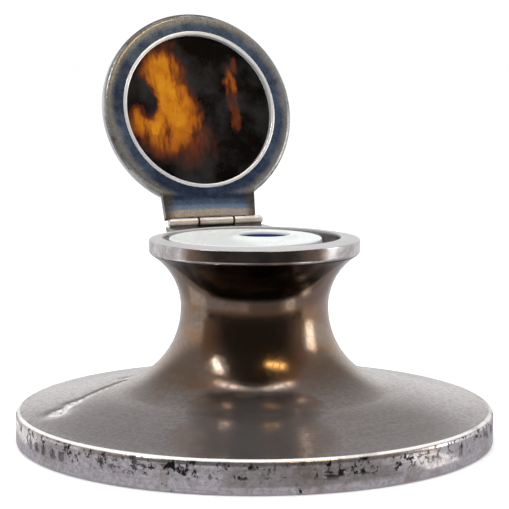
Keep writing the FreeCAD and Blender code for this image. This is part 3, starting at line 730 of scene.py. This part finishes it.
def stagePiece(bm, name, material):
    mesh = bpy.data.meshes.new(name)
    bm.to_mesh(mesh)
    bm.free()
    mesh.materials.append(material)
    for face in mesh.polygons:
        face.use_smooth = True
    piece = bpy.data.objects.new(name, mesh)
    bpy.context.scene.collection.objects.link(piece)
    return piece


def makeFloor():
    material, tree, shader, place = newMaterial("studioFloor")
    shader.inputs["Base Color"].default_value = studio["floorTone"]
    shader.inputs["Roughness"].default_value = 0.9
    bm = bmesh.new()
    bmesh.ops.create_circle(bm, cap_ends=True, segments=96, radius=8.0)
    return stagePiece(bm, "studioFloor", material)


def makeGlow(name, tone, strength):
    material = bpy.data.materials.new(name)
    material.use_nodes = True
    tree = material.node_tree
    tree.nodes.clear()
    output = tree.nodes.new("ShaderNodeOutputMaterial")
    glow = addNode(tree, "ShaderNodeEmission", {"Color": tone, "Strength": strength})
    tree.links.new(glow.outputs[0], output.inputs["Surface"])
    return material


def glossOnly(piece):
    # cards show in reflections and nowhere else
    piece.visible_camera = False
    piece.visible_diffuse = False
    piece.visible_shadow = False
    piece.visible_transmission = False
    piece.visible_volume_scatter = False


# a card bent round the object between two bearings, in degrees to the right of the camera's side;
# its two edges are each a distance from the axis and a height
def makeCard(name, tone, strength, bearings, edges):
    bm = bmesh.new()
    start = math.radians(studio["cameraBearing"] - 90 + bearings[0])
    turn = math.radians(bearings[1] - bearings[0])
    ends = [bm.verts.new((far * math.cos(start), far * math.sin(start), height)) for far, height in edges]
    side = bm.edges.new(ends)
    bmesh.ops.spin(bm, geom=[*ends, side], cent=(0, 0, 0), axis=(0, 0, 1), angle=turn, steps=24, use_merge=False)
    card = stagePiece(bm, name, makeGlow(name, tone, strength))
    glossOnly(card)
    return card


cards = [
    ("darkRoomCard", (0.018, 0.015, 0.012, 1), 1.0, (-82, 82), ((0.36, 0.0), (0.36, 3.0))),
    ("frontTableCard", (0.035, 0.030, 0.026, 1), 1.0, (-75, 75), ((0.13, 0.0002), (0.38, 0.0002))),
    ("dimTableCard", (0.24, 0.22, 0.22, 1), 1.0, (-8, 38), ((0.068, 0.0002), (0.129, 0.0002))),
    ("brightTableCard", (1.0, 0.99, 0.97, 1), 1.5, (46, 60), ((0.068, 0.0002), (0.129, 0.0002))),
    ("sideTableCard", (1.0, 0.99, 0.98, 1), 1.1, (-110, -76), ((0.068, 0.0002), (0.129, 0.0002))),
    ("warmLampCard", (1.0, 0.66, 0.24, 1), 7.0, (20, 52), ((0.34, 0.40), (0.34, 0.50))),
    ("leftWindowCard", (1.0, 0.99, 0.97, 1), 20.0, (-64, -59), ((0.34, 0.30), (0.34, 0.56))),
    ("rightWindowCard", (1.0, 0.98, 0.94, 1), 5.0, (79, 97), ((0.40, 0.02), (0.40, 0.20))),
]


def shadeCard(material, measure, edges, tones):
    # the card's glow runs from its first tone to its second between two heights, distances or bearings
    tree = material.node_tree
    glow = [node for node in tree.nodes if node.type == "EMISSION"][0]
    place = tree.nodes.new("ShaderNodeTexCoord").outputs["Object"]
    parts = addNode(tree, "ShaderNodeSeparateXYZ", {0: place}).outputs
    if measure == "height":
        value = parts["Z"]
    elif measure == "bearing":
        turn = addMath(tree, "ARCTAN2", parts["X"], addMath(tree, "MULTIPLY", parts["Y"], -1.0))
        value = addMath(tree, "ABSOLUTE", addMath(tree, "SUBTRACT", turn, math.radians(studio["cameraBearing"])))
    else:
        value = addNode(tree, "ShaderNodeVectorMath", {0: place}, operation="LENGTH").outputs["Value"]
    tree.links.new(addMix(tree, addRange(tree, value, *edges), *tones), glow.inputs["Color"])


def makeRoomCard():
    # the walls and ceiling of the room, as the metal sees them
    material = makeGlow("roomCard", studio["wallTone"], 1.0)
    shadeCard(material, "height", studio["wallEdge"], (studio["wallTone"], studio["ceilingTone"]))
    bm = bmesh.new()
    bmesh.ops.create_icosphere(bm, subdivisions=5, radius=studio["roomRadius"])
    glossOnly(stagePiece(bm, "roomCard", material))


def makeTableCard():
    # the table top, as the metal sees it: grey under the foot, paler further off
    material = makeGlow("tableCard", studio["sheetTone"], 1.0)
    shadeCard(material, "distance", studio["sheetEdge"], (studio["sheetTone"], studio["tableTone"]))
    bm = bmesh.new()
    bmesh.ops.create_circle(bm, cap_ends=True, segments=96, radius=2.0)
    bmesh.ops.translate(bm, verts=bm.verts[:], vec=(0, 0, 0.00005))
    glossOnly(stagePiece(bm, "tableCard", material))


def makeCeilingCard():
    # a narrow bright strip overhead, which draws the thin line above the dome
    material = makeGlow("ceilingCard", studio["stripTone"], studio["stripStrength"])
    bm = bmesh.new()
    bmesh.ops.create_grid(bm, x_segments=1, y_segments=1, size=0.5)
    bmesh.ops.scale(bm, vec=studio["stripSize"], verts=bm.verts[:])
    bmesh.ops.translate(bm, verts=bm.verts[:], vec=studio["stripPlace"])
    bmesh.ops.rotate(bm, verts=bm.verts[:], matrix=Matrix.Rotation(math.radians(studio["cameraBearing"]), 3, "Z"))
    glossOnly(stagePiece(bm, "ceilingCard", material))


# each softbox has a name, a place, a size and a power
softboxes = [
    ("overheadSoftbox", (0.05, 0.1, 0.9), (0.7, 0.5), 5.0),
    ("sideSoftbox", (-0.7, -0.3, 0.6), (0.5, 0.5), 2.0),
]


def makeSoftbox(name, place, size, power):
    lamp = bpy.data.lights.new(name, "AREA")
    lamp.shape = "RECTANGLE"
    lamp.size, lamp.size_y = size
    lamp.energy = power
    box = bpy.data.objects.new(name, lamp)
    box.location = place
    box.rotation_euler = (Vector((0, 0, 0.04)) - Vector(place)).to_track_quat("-Z", "Y").to_euler()
    box.visible_glossy = False
    bpy.context.scene.collection.objects.link(box)
    return box


def makeWorld():
    world = bpy.data.worlds.new("studioSky")
    world.use_nodes = True
    tree = world.node_tree
    tree.nodes.clear()
    output = tree.nodes.new("ShaderNodeOutputWorld")
    sky = addNode(tree, "ShaderNodeBackground", {"Color": studio["skyTone"], "Strength": 1.0})
    tree.links.new(sky.outputs[0], output.inputs["Surface"])
    bpy.context.scene.world = world


def makeCamera():
    camera = bpy.data.objects.new("camera", bpy.data.cameras.new("camera"))
    camera.data.lens = studio["lens"]
    camera.data.sensor_width = 36.0
    camera.data.clip_start = 0.01
    bearing = math.radians(studio["cameraBearing"])
    camera.location = (math.sin(bearing) * studio["cameraDistance"], -math.cos(bearing) * studio["cameraDistance"],
                       studio["cameraHeight"])
    camera.rotation_euler = (math.radians(90 - studio["cameraPitch"]), 0, bearing)
    bpy.context.scene.collection.objects.link(camera)
    bpy.context.scene.camera = camera


makeFloor()
makeRoomCard()
makeTableCard()
makeCeilingCard()
cardPieces = {card[0]: makeCard(*card) for card in cards}
shadeCard(cardPieces["frontTableCard"].data.materials[0], "distance", studio["frontEdge"],
          (studio["frontNear"], studio["frontFar"]))
shadeCard(cardPieces["darkRoomCard"].data.materials[0], "bearing", studio["wallTurn"],
          (studio["darkWall"], studio["paleWall"]))
for box in softboxes:
    makeSoftbox(*box)
makeWorld()
makeCamera()
bpy.context.scene.view_settings.view_transform = "Standard"
print("studio made")
